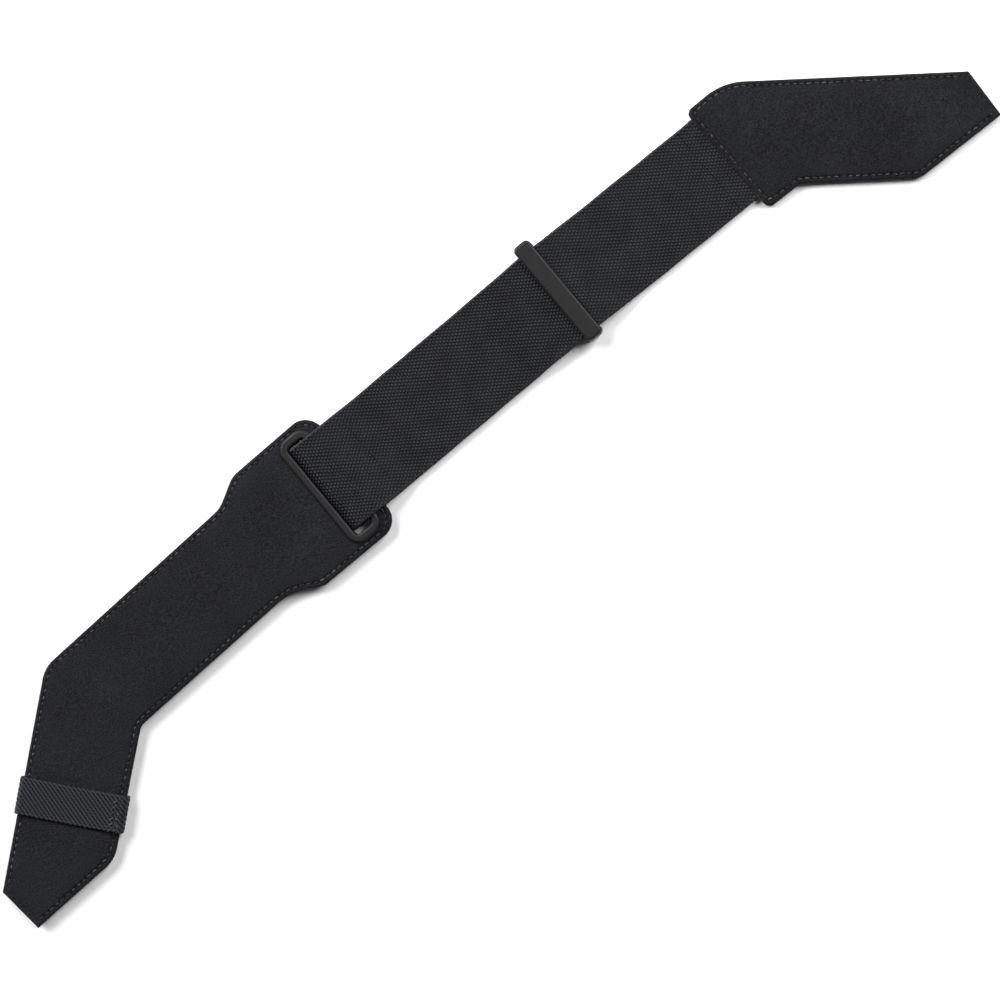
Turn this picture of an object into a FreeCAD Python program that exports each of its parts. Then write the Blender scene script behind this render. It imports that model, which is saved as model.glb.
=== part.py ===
import FreeCAD, Part
import math
import os

import Sketcher

V = FreeCAD.Vector

os.makedirs("parts", exist_ok=True)
doc = FreeCAD.newDocument("goggle_head_strap")

# Driving dimensions in millimetres. X runs along the webbing from the left arm to the right arm,
# Y across it and Z up from the table that the strap lies on, front face up. The design's zero is
# the middle of the slot frame, and shift_x and shift_y bring the middle of the whole strap to the
# origin.
SIZES = {
    "shift_x": -45.15,
    "shift_y": 15.4,
    "webbing_width": 39.8,
    "webbing_thickness": 1.5,
    "panel_thickness": 1.2,
    "core_thickness": 1.5,
    "layer_gap": 0.05,
    "sliding_gap": 0.15,
    "stitch_pitch": 2.8,
    "stitch_length": 2.0,
    "stitch_inset": 2.0,
    "thread_width": 0.45,
    "thread_height": 0.25,
    "frame_width": 14.5,
    "frame_length": 50.2,
    "frame_corner": 5.4,
    "flange_thickness": 1.2,
    "flange_edge": 1.05,
    "window_width": 7.8,
    "window_length": 42.8,
    "window_corner": 1.5,
    "collar_wall": 0.8,
    "collar_clearance": 0.1,
    "keeper_x": -157.1,
    "keeper_y": -30.45,
    "keeper_turn": -50.3,
    "keeper_length": 43.6,
    "keeper_width": 14.8,
    "keeper_thickness": 1.0,
    "keeper_edge": 0.9,
    "keeper_seam_inset": 2.3,
    "keeper_seam_width": 3.5,
    "slider_x": 116.3,
    "slider_y": 1.2,
    "slider_width": 7.5,
    "slider_length": 46.4,
    "slider_corner": 2.2,
    "slider_edge": 1.1,
    "slider_cheek": 2.2,
    "front_bar_thickness": 1.8,
    "rear_bar_thickness": 1.4,
    "rear_bar_width": 4.8,
    "tail_length": 18.0,
    "fold_x": -3.2,
    "front_webbing_y": 0.65,
    "upper_webbing_y": 0.35,
    "left_bend_x": 20.0,
    "right_bend_x": 190.0,
    "sewn_length": 22.0,
    "pocket_length": 44.0,
    "pocket_width": 13.0,
    "left_pocket_turn": -140.5,
    "right_pocket_turn": -37.8,
}

# Outline corners of the two arms, in order round each arm: x, y and the corner's radius.
LEFT_ARM = {
    "left_mouth_top": (-200.1, -39.2, 1.0),
    "left_bend_outer": (-131.1, 17.6, 14.0),
    "left_waist_top": (-38.5, 21.1, 12.0),
    "left_pad_top": (-27.0, 27.5, 12.0),
    "left_end_top": (12.0, 28.0, 8.0),
    "left_end_bottom": (12.0, -28.3, 8.0),
    "left_pad_bottom": (-26.5, -28.1, 6.0),
    "left_waist_bottom": (-38.0, -21.5, 25.0),
    "left_bend_inner": (-116.5, -24.0, 4.5),
    "left_heel": (-158.0, -57.5, 14.0),
    "left_mouth_bottom": (-198.1, -58.8, 1.0),
}
RIGHT_ARM = {
    "right_end_top": (197.6, 22.4, 3.0),
    "right_shoulder": (216.0, 22.3, 25.0),
    "right_mouth_top": (290.4, -35.3, 1.0),
    "right_mouth_bottom": (289.25, -56.05, 1.0),
    "right_heel": (250.2, -54.9, 9.0),
    "right_bend_inner": (213.8, -27.0, 1.5),
    "right_end_bottom": (198.4, -26.4, 3.0),
}
for corners in (LEFT_ARM, RIGHT_ARM):
    for corner, (across, along, radius) in corners.items():
        SIZES[corner + "_x"] = across
        SIZES[corner + "_y"] = along
        SIZES[corner + "_radius"] = radius

sheet = doc.addObject("Spreadsheet::Sheet", "Sizes")
for row, (alias, value) in enumerate(SIZES.items(), start=1):
    sheet.set("A%d" % row, alias)
    sheet.set("B%d" % row, str(value))
    sheet.setAlias("B%d" % row, alias)
doc.recompute()


def size(alias):
    return float(getattr(sheet, alias))


def cell(alias):
    return "Sizes." + alias


# The left arm lies on the return layer of webbing. Its two levels, as expressions and as numbers.
LEFT_BASE = "Sizes.webbing_thickness + Sizes.layer_gap"
LEFT_TOP = LEFT_BASE + " + 2 * Sizes.panel_thickness + Sizes.core_thickness"
panel = size("panel_thickness")
core = size("core_thickness")
thickness = size("webbing_thickness")
gap = size("layer_gap")
left_base = thickness + gap
left_top = left_base + 2 * panel + core

subparts = []


def new_body(label):
    body = doc.addObject("PartDesign::Body", label)
    body.Label = label
    subparts.append(body)
    return body


def new_sketch(body, name, role, turn=0.0):
    """A sketch on one of the body's own planes."""
    sketch = body.newObject("Sketcher::SketchObject", name)
    plane = [item for item in body.Origin.OriginFeatures if item.Role == role][0]
    sketch.AttachmentSupport = (plane, [""])
    sketch.MapMode = "FlatFace"
    sketch.AttachmentOffset = FreeCAD.Placement(V(0, 0, 0), FreeCAD.Rotation(V(0, 0, 1), turn))
    return sketch


def new_pad(body, name, sketch, length, side="One side", downwards=False):
    pad = body.newObject("PartDesign::Pad", name)
    pad.Profile = sketch
    pad.SideType = side
    pad.Reversed = downwards
    pad.setExpression("Length", length)
    return pad


def new_pocket(body, name, sketch, before):
    """A cut both ways from the sketch, right through the body."""
    doc.recompute()
    volume = before.Shape.Volume
    pocket = body.newObject("PartDesign::Pocket", name)
    pocket.Profile = sketch
    pocket.SideType = "Symmetric"
    pocket.Type = "ThroughAll"
    doc.recompute()
    if not pocket.Shape.Volume < volume - 1.0:
        raise RuntimeError("%s cuts nothing from %s" % (name, body.Label))
    return pocket


def place(item, x="0", y="0", z="0", turn=0.0):
    """Put a sub-part at its place in the strap, from expressions on the sheet."""
    item.Placement = FreeCAD.Placement(V(0, 0, 0), FreeCAD.Rotation(V(0, 0, 1), turn))
    item.setExpression(".Placement.Base.x", "Sizes.shift_x + " + x)
    item.setExpression(".Placement.Base.y", "Sizes.shift_y + " + y)
    item.setExpression(".Placement.Base.z", z)


def polygon(sketch, corners):
    """A closed polygon whose corners are held at the sheet's cells."""
    names = list(corners)
    points = [V(size(name + "_x"), size(name + "_y"), 0) for name in names]
    count = len(points)
    for i in range(count):
        sketch.addGeometry(Part.LineSegment(points[i], points[(i + 1) % count]))
    for i in range(count):
        sketch.addConstraint(Sketcher.Constraint("Coincident", i, 2, (i + 1) % count, 1))
    for i, name in enumerate(names):
        for kind, axis in (("DistanceX", "_x"), ("DistanceY", "_y")):
            index = sketch.addConstraint(Sketcher.Constraint(kind, i, 1, size(name + axis)))
            sketch.setExpression("Constraints[%d]" % index, cell(name + axis))


def rectangle(sketch, wide, tall):
    """A rectangle about the sketch's zero, its two sides given as expressions."""
    corners = [V(-1, -1, 0), V(1, -1, 0), V(1, 1, 0), V(-1, 1, 0)]
    for i in range(4):
        sketch.addGeometry(Part.LineSegment(corners[i], corners[(i + 1) % 4]))
    for i in range(4):
        sketch.addConstraint(Sketcher.Constraint("Coincident", i, 2, (i + 1) % 4, 1))
        sketch.addConstraint(Sketcher.Constraint("Vertical" if i % 2 else "Horizontal", i))
    sketch.addConstraint(Sketcher.Constraint("Symmetric", 0, 1, 1, 2, -1, 1))
    index = sketch.addConstraint(Sketcher.Constraint("DistanceX", 0, 1, 0, 2, 2.0))
    sketch.setExpression("Constraints[%d]" % index, wide)
    index = sketch.addConstraint(Sketcher.Constraint("DistanceY", 1, 1, 1, 2, 2.0))
    sketch.setExpression("Constraints[%d]" % index, tall)


def is_upright(edge):
    ends = edge.Vertexes
    if len(ends) < 2:
        return False
    step = ends[1].Point - ends[0].Point
    return abs(step.z) > 1e-3 and math.hypot(step.x, step.y) < 1e-6


def round_edges(body, name, base, radius, wanted):
    """A fillet on those edges of the feature that the test picks."""
    doc.recompute()
    picked = ["Edge%d" % (i + 1) for i, edge in enumerate(base.Shape.Edges) if wanted(edge)]
    if not picked:
        raise RuntimeError("%s finds no edge on %s" % (name, body.Label))
    fillet = body.newObject("PartDesign::Fillet", name)
    fillet.Base = (base, picked)
    fillet.setExpression("Radius", radius)
    return fillet


def arm_layer(label, corners, thickness, z):
    """One flat layer of an arm: the outline padded, then each corner rounded."""
    body = new_body(label)
    sketch = new_sketch(body, label + "_outline", "XY_Plane")
    polygon(sketch, corners)
    feature = new_pad(body, label + "_pad", sketch, thickness)
    for corner in corners:
        spot = V(size(corner + "_x"), size(corner + "_y"), 0)

        def at_corner(edge):
            point = edge.Vertexes[0].Point
            return is_upright(edge) and math.hypot(point.x - spot.x, point.y - spot.y) < 1e-3

        feature = round_edges(body, label + "_" + corner, feature, cell(corner + "_radius"), at_corner)
    place(body, z=z)
    return body, feature


def opening(body, feature, name, wide, tall, radius=None, x="0", y="0", turn=0.0):
    """A rectangular hole through a layer, its corners rounded where a radius is given."""
    sketch = new_sketch(body, body.Label + "_" + name, "XY_Plane", turn)
    sketch.setExpression(".AttachmentOffset.Base.x", x)
    sketch.setExpression(".AttachmentOffset.Base.y", y)
    rectangle(sketch, wide, tall)
    before = {tuple(round(c, 4) for c in edge.CenterOfMass) for edge in feature.Shape.Edges}
    feature = new_pocket(body, body.Label + "_" + name + "_cut", sketch, feature)
    if radius is None:
        return feature

    def is_new_upright(edge):
        return is_upright(edge) and tuple(round(c, 4) for c in edge.CenterOfMass) not in before

    return round_edges(body, body.Label + "_" + name + "_corners", feature, radius, is_new_upright)


def strip_outline(points, radii, thickness):
    """The closed outline of a strip whose middle follows the points, with tangent arcs between."""
    def left(direction):
        return V(-direction.y, direction.x, 0)

    runs = [(b - a).normalize() for a, b in zip(points, points[1:])]
    sides = {1: [], -1: []}
    ends = {side: points[0] + left(runs[0]) * (side * thickness / 2) for side in sides}
    starts = dict(ends)
    for corner, radius, into, out in zip(points[1:-1], radii, runs, runs[1:]):
        turn = math.atan2(into.x * out.y - into.y * out.x, into.dot(out))
        reach = radius * math.tan(abs(turn) / 2)
        bend = math.copysign(1.0, turn)
        centre = corner - into * reach + left(into) * (radius * bend)
        outwards = (corner - centre).normalize()
        for side, edges in sides.items():
            offset = side * thickness / 2
            begin = corner - into * reach + left(into) * offset
            finish = corner + out * reach + left(out) * offset
            middle = centre + outwards * (radius - bend * offset)
            if (begin - ends[side]).Length > 1e-6:
                edges.append(Part.LineSegment(ends[side], begin))
            edges.append(Part.Arc(begin, middle, finish))
            ends[side] = finish
    for side, edges in sides.items():
        finish = points[-1] + left(runs[-1]) * (side * thickness / 2)
        edges.append(Part.LineSegment(ends[side], finish))
        ends[side] = finish
    caps = [Part.LineSegment(starts[1], starts[-1]), Part.LineSegment(ends[1], ends[-1])]
    return sides[1] + sides[-1] + caps


def webbing_strip(label, route, radii, y):
    """A length of webbing: its side view padded to the webbing's width."""
    body = new_body(label)
    sketch = new_sketch(body, label + "_side_view", "XZ_Plane")
    points = [V(x, z, 0) for x, z in route]
    for edge in strip_outline(points, radii, size("webbing_thickness")):
        sketch.addGeometry(edge)
    new_pad(body, label + "_pad", sketch, cell("webbing_width"), "Symmetric")
    place(body, y=y)
    return body


def stitch(start, finish, z):
    """One visible length of thread: a flat bar from start to finish, lying on height z."""
    along = finish - start
    bar = Part.makeBox(along.Length, size("thread_width"), size("thread_height"))
    bar.translate(V(0, -size("thread_width") / 2, 0))
    bar.rotate(V(0, 0, 0), V(0, 0, 1), math.degrees(math.atan2(along.y, along.x)))
    bar.translate(V(start.x, start.y, z))
    return bar


def zigzag(start, finish, width, pitch, z):
    """Stitches that cross from side to side of the line from start to finish."""
    along = finish - start
    count = max(2, round(along.Length / pitch))
    across = V(-along.y, along.x, 0).normalize() * (width / 2)
    turns = [start + along * (i / count) + across * (1 if i % 2 else -1) for i in range(count + 1)]
    bars = []
    for a, b in zip(turns, turns[1:]):
        trim = (b - a) * 0.12
        bars.append(stitch(a + trim, b - trim, z))
    return bars


def stitching(label, bars, x="0", y="0", turn=0.0):
    """A row of separate stitches kept together as one sub-part."""
    feature = doc.addObject("Part::Feature", label)
    feature.Label = label
    feature.Shape = Part.makeCompound(bars)
    place(feature, x, y, "0", turn)
    subparts.append(feature)
    return feature


def lockstitch_line(layer, z):
    """Stitches round a layer, a set way in from its outline."""
    doc.recompute()
    top = max(layer.Tip.Shape.Faces, key=lambda face: face.CenterOfMass.z)
    outline = Part.Face(top.OuterWire).makeOffset2D(-size("stitch_inset")).OuterWire
    count = round(outline.Length / size("stitch_pitch"))
    points = outline.discretize(Number=count + 1)
    share = size("stitch_length") / size("stitch_pitch")
    bars = []
    for a, b in zip(points, points[1:]):
        a = V(a.x, a.y, 0)
        b = V(b.x, b.y, 0)
        bars.append((a, stitch(a, a + (b - a) * share, z)))
    return bars


def away_from(bars, first, second, reach):
    """Those stitches that start further than the reach from the line between two corners."""
    ends = [V(size(name + "_x"), size(name + "_y"), 0) for name in (first, second)]
    edge = Part.makeLine(*ends)
    return [(a, bar) for a, bar in bars if edge.distToShape(Part.Vertex(a))[0] > reach]


# Left arm: back panel, foam core and front panel on the return layer of webbing.
collar_wide = "Sizes.window_width + 2 * Sizes.collar_wall"
collar_tall = "Sizes.window_length + 2 * Sizes.collar_wall"
hole_wide = collar_wide + " + 2 * Sizes.collar_clearance"
hole_tall = collar_tall + " + 2 * Sizes.collar_clearance"
collar_corner = "Sizes.window_corner + Sizes.collar_wall"

body, feature = arm_layer("left_back_panel", LEFT_ARM, cell("panel_thickness"), LEFT_BASE)
opening(body, feature, "frame_seat", "Sizes.frame_width + 2 * Sizes.collar_clearance",
        "Sizes.frame_length + 2 * Sizes.collar_clearance", cell("frame_corner"))

body, feature = arm_layer("left_foam_core", LEFT_ARM, cell("core_thickness"),
                          LEFT_BASE + " + Sizes.panel_thickness")
feature = opening(body, feature, "slot", hole_wide, hole_tall, collar_corner)
opening(body, feature, "sleeve_pocket", "2 * Sizes.pocket_length", cell("pocket_width"),
        x="(Sizes.left_mouth_top_x + Sizes.left_mouth_bottom_x) / 2",
        y="(Sizes.left_mouth_top_y + Sizes.left_mouth_bottom_y) / 2", turn=size("left_pocket_turn"))

body, feature = arm_layer("left_front_panel", LEFT_ARM, cell("panel_thickness"),
                          LEFT_BASE + " + Sizes.panel_thickness + Sizes.core_thickness")
opening(body, feature, "slot", hole_wide, hole_tall, collar_corner)
left_rows = lockstitch_line(body, left_top)
left_rows = away_from(left_rows, "left_mouth_top", "left_mouth_bottom", size("stitch_inset") + 1.0)
stitching("left_perimeter_stitching", [bar for _, bar in left_rows])

# Slot frame: a flange on the front with a collar through the arm, and a plate round it at the back.
body = new_body("slot_frame_front")
sketch = new_sketch(body, "flange_outline", "XY_Plane")
rectangle(sketch, cell("frame_width"), cell("frame_length"))
feature = new_pad(body, "flange", sketch, cell("flange_thickness"))
feature = round_edges(body, "flange_corners", feature, cell("frame_corner"), is_upright)
flange_top = size("flange_thickness")
feature = round_edges(body, "flange_outer_edge", feature, cell("flange_edge"),
                      lambda edge: abs(edge.BoundBox.ZMin - flange_top) < 1e-6)
sketch = new_sketch(body, "collar_outline", "XY_Plane")
rectangle(sketch, collar_wide, collar_tall)
feature = new_pad(body, "collar", sketch, "2 * Sizes.panel_thickness + Sizes.core_thickness", downwards=True)
feature = round_edges(body, "collar_corners", feature, collar_corner,
                      lambda edge: is_upright(edge) and edge.CenterOfMass.z < 0)
feature = opening(body, feature, "window", cell("window_width"), cell("window_length"), cell("window_corner"))
round_edges(body, "flange_inner_edge", feature, cell("flange_edge"),
            lambda edge: abs(edge.BoundBox.ZMin - flange_top) < 1e-6
            and edge.BoundBox.YLength < size("window_length") + 1e-3
            and abs(edge.CenterOfMass.x) < size("window_width") / 2 + 1e-3
            and abs(edge.CenterOfMass.y) < size("window_length") / 2 + 1e-3)
place(body, z=LEFT_TOP)

body = new_body("slot_frame_back")
sketch = new_sketch(body, "plate_outline", "XY_Plane")
rectangle(sketch, cell("frame_width"), cell("frame_length"))
feature = new_pad(body, "plate", sketch, "Sizes.panel_thickness - Sizes.layer_gap")
feature = round_edges(body, "plate_corners", feature, cell("frame_corner"), is_upright)
opening(body, feature, "collar_hole", hole_wide, hole_tall, collar_corner)
place(body, z=LEFT_BASE)

# Keeper: an elastic band round the arm near its mouth, sewn down at one edge with a zigzag.
keeper_half = size("keeper_length") / 2
keeper_top = left_top + size("thread_height") + gap + size("keeper_thickness")
keeper_foot = left_base - gap - size("keeper_thickness")
body = new_body("keeper_band")
sketch = new_sketch(body, "band_outline", "XZ_Plane")
for grow in (0.0, -size("keeper_thickness")):
    wide = keeper_half + grow
    low = keeper_foot - grow
    high = keeper_top + grow
    corners = [V(-wide, low, 0), V(wide, low, 0), V(wide, high, 0), V(-wide, high, 0)]
    for a, b in zip(corners, corners[1:] + corners[:1]):
        sketch.addGeometry(Part.LineSegment(a, b))
feature = new_pad(body, "band", sketch, cell("keeper_width"), "Symmetric")
round_edges(body, "band_edges", feature, cell("keeper_edge"),
            lambda edge: edge.BoundBox.YLength > 1 and abs(abs(edge.CenterOfMass.x) - keeper_half) < 1e-6)
place(body, cell("keeper_x"), cell("keeper_y"), "0", size("keeper_turn"))

seam = keeper_half - size("keeper_seam_inset") - size("keeper_seam_width") / 2
seam_reach = size("keeper_width") / 2 - 0.8
bars = zigzag(V(seam, -seam_reach, 0), V(seam, seam_reach, 0), size("keeper_seam_width"), 1.1, keeper_top)
stitching("keeper_zigzag_stitching", bars, cell("keeper_x"), cell("keeper_y"), size("keeper_turn"))

# Heights of the middle of each webbing layer, from the table up.
return_level = thickness / 2
resting_level = return_level + thickness + gap
frame_level = left_top + size("flange_thickness") + gap + thickness / 2
tail_level = size("thread_height") + thickness / 2
over_tail_level = tail_level + thickness + gap
bar_middle = tail_level + thickness / 2 + gap + size("rear_bar_thickness") / 2
over_bar_level = 2 * bar_middle - tail_level
front_over_tail_level = over_tail_level + thickness + size("thread_height") + gap
front_in_slider_level = over_bar_level + thickness + size("sliding_gap")
sewn_level = panel + thickness / 2

slider_x = size("slider_x")
left_bend = size("left_bend_x")
right_bend = size("right_bend_x")
front_y = cell("front_webbing_y")
upper_y = cell("upper_webbing_y")

# The fold round the slot frame's bar, and the slope down over the end of the arm.
fold_radius = (frame_level - return_level) / 2
fold_left = size("fold_x") + thickness / 2
slope_top = V(size("frame_width") / 2 + 1.25, frame_level, 0)
slope_foot = V(26.3, resting_level, 0)
slope_share = (left_bend - slope_top.x) / (slope_foot.x - slope_top.x)
slope_cut = slope_top + (slope_foot - slope_top) * slope_share
webbing_strip(
    "webbing_slot_fold",
    [(slope_cut.x, slope_cut.y), (slope_top.x, slope_top.y), (fold_left, frame_level),
     (fold_left, return_level), (left_bend, return_level)],
    [12.0, fold_radius, fold_radius],
    front_y,
)

# Where the two layers of the loop lift over the sewn tail and then over the slider's rear bar.
bar_right = slider_x + size("rear_bar_width") / 2
tail_start = slider_x - size("tail_length")
lift_foot = tail_start - 12.3
lift_top = tail_start - 1.3
step_foot = slider_x - 11.3
step_top = slider_x - 5.0
webbing_strip(
    "webbing_front_span",
    [(slope_cut.x, slope_cut.y), (slope_foot.x, slope_foot.y), (lift_foot, resting_level),
     (lift_top, front_over_tail_level), (step_foot, front_over_tail_level),
     (step_top, front_in_slider_level), (slider_x, front_in_slider_level)],
    [20.0, 30.0, 20.0, 15.0, 15.0],
    front_y,
)
webbing_strip(
    "webbing_return_span",
    [(left_bend, return_level), (lift_foot, return_level), (lift_top, over_tail_level),
     (tail_start, over_tail_level)],
    [30.0, 8.0],
    front_y,
)

# The end of the return layer goes over the slider's rear bar, round it, and is sewn to itself.
loop_radius = (over_bar_level - tail_level) / 2
bar_end_middle = bar_right - size("rear_bar_thickness") / 2
loop_right = bar_end_middle + loop_radius
webbing_strip(
    "webbing_end_loop",
    [(tail_start, over_tail_level), (step_foot, over_tail_level), (step_top, over_bar_level),
     (loop_right, over_bar_level), (loop_right, tail_level), (tail_start, tail_level)],
    [12.0, 12.0, loop_radius, loop_radius],
    front_y,
)
tack_x = tail_start + 4.0
tack_reach = size("webbing_width") / 2 - 2.0
tack_y = size("front_webbing_y")
bars = []
for level in (0.0, over_tail_level + thickness / 2):
    low_end = V(tack_x, tack_y - tack_reach, 0)
    high_end = V(tack_x, tack_y + tack_reach, 0)
    bars += zigzag(low_end, high_end, 2.6, 1.4, level)
stitching("end_loop_bar_tack", bars)

# The upper span comes out of the slider, drops to the table and is sewn into the right arm.
webbing_strip(
    "webbing_upper_span",
    [(slider_x, front_in_slider_level), (slider_x + 5.7, front_in_slider_level),
     (slider_x + 23.7, sewn_level), (right_bend, sewn_level)],
    [20.0, 30.0],
    upper_y,
)
webbing_strip(
    "webbing_sewn_end",
    [(right_bend, sewn_level), (right_bend + size("sewn_length"), sewn_level)],
    [],
    upper_y,
)

# Slider: two cheeks joined by a wide bar over the webbing and a slim bar inside the end loop.
window_top = front_in_slider_level + thickness / 2 + gap
window_reach = size("slider_length") - 2 * size("slider_cheek")
body = new_body("slider_buckle")
sketch = new_sketch(body, "slider_outline", "XY_Plane")
rectangle(sketch, cell("slider_width"), cell("slider_length"))
feature = new_pad(body, "slider_block", sketch, "%.4f + Sizes.front_bar_thickness" % window_top)
feature = round_edges(body, "slider_ends", feature, cell("slider_corner"), is_upright)
slider_top = window_top + size("front_bar_thickness")
feature = round_edges(body, "slider_top_edge", feature, cell("slider_edge"),
                      lambda edge: abs(edge.BoundBox.ZMin - slider_top) < 1e-6)
sketch = new_sketch(body, "webbing_way", "YZ_Plane")
corners = [V(-window_reach / 2, -1, 0), V(window_reach / 2, -1, 0),
           V(window_reach / 2, window_top, 0), V(-window_reach / 2, window_top, 0)]
for a, b in zip(corners, corners[1:] + corners[:1]):
    sketch.addGeometry(Part.LineSegment(a, b))
feature = new_pocket(body, "webbing_way_cut", sketch, feature)
sketch = new_sketch(body, "rear_bar_section", "XZ_Plane")
bar_end = size("rear_bar_thickness") / 2
bar_run = size("rear_bar_width") / 2 - bar_end
for side in (1, -1):
    a = V(side * bar_run, bar_middle - side * bar_end, 0)
    b = V(side * bar_run, bar_middle + side * bar_end, 0)
    sketch.addGeometry(Part.Arc(a, V(side * (bar_run + bar_end), bar_middle, 0), b))
    sketch.addGeometry(Part.LineSegment(b, V(-side * bar_run, bar_middle + side * bar_end, 0)))
new_pad(body, "rear_bar", sketch, "%.4f + 2 * Sizes.layer_gap" % window_reach, "Symmetric")
place(body, cell("slider_x"), cell("slider_y"))

# Right arm: the webbing's end lies between its two panels, in a seat in the core.
arm_layer("right_back_panel", RIGHT_ARM, cell("panel_thickness"), "0")

body, feature = arm_layer("right_foam_core", RIGHT_ARM, cell("core_thickness"), cell("panel_thickness"))
feature = opening(body, feature, "webbing_seat", "2 * (Sizes.sewn_length + Sizes.collar_clearance)",
                  "Sizes.webbing_width + 2 * Sizes.collar_clearance",
                  x=cell("right_bend_x"), y=upper_y)
opening(body, feature, "sleeve_pocket", "2 * Sizes.pocket_length", cell("pocket_width"),
        x="(Sizes.right_mouth_top_x + Sizes.right_mouth_bottom_x) / 2",
        y="(Sizes.right_mouth_top_y + Sizes.right_mouth_bottom_y) / 2", turn=size("right_pocket_turn"))

body, feature = arm_layer("right_front_panel", RIGHT_ARM, cell("panel_thickness"),
                          "Sizes.panel_thickness + Sizes.core_thickness")
right_rows = lockstitch_line(body, 2 * panel + core)
right_rows = away_from(right_rows, "right_mouth_top", "right_mouth_bottom", size("stitch_inset") + 1.0)
anchor_limit = size("right_end_bottom_x") + size("stitch_inset") + 0.6
stitching("webbing_anchor_stitching", [bar for a, bar in right_rows if a.x < anchor_limit])
stitching("right_perimeter_stitching", [bar for a, bar in right_rows if a.x >= anchor_limit])

doc.recompute()
for item in doc.Objects:
    faults = [state for state in item.State if state in ("Invalid", "Error")]
    if faults:
        raise RuntimeError("%s is %s" % (item.Name, faults))
for item in subparts:
    shape = item.Shape
    if shape.isNull() or not shape.isValid():
        raise RuntimeError("%s has no valid shape" % item.Label)

low = [min(getattr(item.Shape.BoundBox, axis + "Min") for item in subparts) for axis in "XYZ"]
high = [max(getattr(item.Shape.BoundBox, axis + "Max") for item in subparts) for axis in "XYZ"]
print("whole strap:", [round(value, 2) for value in low], [round(value, 2) for value in high])
for item in subparts:
    item.Shape.exportStep("parts/%s.step" % item.Label)
    print("%-28s %8.1f mm3, solids: %d" % (item.Label, item.Shape.Volume, len(item.Shape.Solids)))
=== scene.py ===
import math

import bpy
import numpy as np
from mathutils import Matrix, Vector


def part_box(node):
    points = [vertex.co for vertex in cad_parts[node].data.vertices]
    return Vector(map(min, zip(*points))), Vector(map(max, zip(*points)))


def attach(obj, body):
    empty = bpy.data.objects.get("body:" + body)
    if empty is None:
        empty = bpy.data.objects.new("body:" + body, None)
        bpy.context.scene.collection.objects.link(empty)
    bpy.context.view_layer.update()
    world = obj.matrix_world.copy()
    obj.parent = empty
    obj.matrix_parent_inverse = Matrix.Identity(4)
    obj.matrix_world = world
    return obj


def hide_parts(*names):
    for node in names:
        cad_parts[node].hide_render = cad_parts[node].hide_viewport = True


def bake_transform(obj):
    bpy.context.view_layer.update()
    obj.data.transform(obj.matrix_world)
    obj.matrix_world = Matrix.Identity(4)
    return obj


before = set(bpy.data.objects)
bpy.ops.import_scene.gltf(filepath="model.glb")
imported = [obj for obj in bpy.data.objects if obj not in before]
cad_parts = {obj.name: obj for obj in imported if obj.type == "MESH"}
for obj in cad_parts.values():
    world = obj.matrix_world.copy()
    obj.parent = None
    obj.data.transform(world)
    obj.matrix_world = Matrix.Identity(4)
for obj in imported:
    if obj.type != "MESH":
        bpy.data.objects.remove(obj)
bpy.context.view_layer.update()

# Sizes below are in millimetres from the middle of the slot frame, on the surface the strap lies on.
mm = 0.001
slotLow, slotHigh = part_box("slot_frame_front")
slotMiddle = np.array([(slotLow[0] + slotHigh[0]) / 2, (slotLow[1] + slotHigh[1]) / 2, 0.0])


def top(node):
    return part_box(node)[1][2] / mm


def foot(node):
    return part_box(node)[0][2] / mm


def place(points):
    # Millimetres from the slot frame to metres in the frame.
    return np.asarray(points, float) * mm + slotMiddle


def makePiece(name, vertices, quads, material, fans=(), uv=None):
    # A mesh object from whole arrays: vertices in metres, four-sided faces, and a few many-sided ones.
    loops = np.concatenate([np.asarray(face, np.int64).ravel() for face in (quads, *fans)])
    sizes = np.concatenate([np.full(len(quads), 4), np.array([len(f) for f in fans], int)])
    starts = np.concatenate([[0], np.cumsum(sizes)[:-1]])
    mesh = bpy.data.meshes.new(name)
    mesh.vertices.add(len(vertices))
    mesh.vertices.foreach_set("co", np.asarray(vertices, np.float32).ravel())
    mesh.loops.add(len(loops))
    mesh.loops.foreach_set("vertex_index", loops.astype(np.int32))
    mesh.polygons.add(len(sizes))
    mesh.polygons.foreach_set("loop_start", starts.astype(np.int32))
    mesh.update(calc_edges=True)
    if uv is not None:
        layer = mesh.uv_layers.new(name="cloth")
        layer.data.foreach_set("uv", np.asarray(uv, np.float32)[loops].ravel())
    mesh.polygons.foreach_set("use_smooth", np.arange(len(sizes)) < len(quads))
    mesh.materials.append(material)
    piece = bpy.data.objects.new(name, mesh)
    bpy.context.scene.collection.objects.link(piece)
    return piece


def gridQuads(rows, columns, wrap=False, closed=False):
    # Faces of a grid stored row by row. With wrap the last column joins the first, and with closed the last
    # row too.
    lastRow, lastColumn = (rows if closed else rows - 1), (columns if wrap else columns - 1)
    r, c = np.meshgrid(np.arange(lastRow), np.arange(lastColumn), indexing="ij")
    down, side = (r + 1) % rows, (c + 1) % columns
    corners = [r * columns + c, down * columns + c, down * columns + side, r * columns + side]
    return np.stack(corners, -1).reshape(-1, 4)


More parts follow.
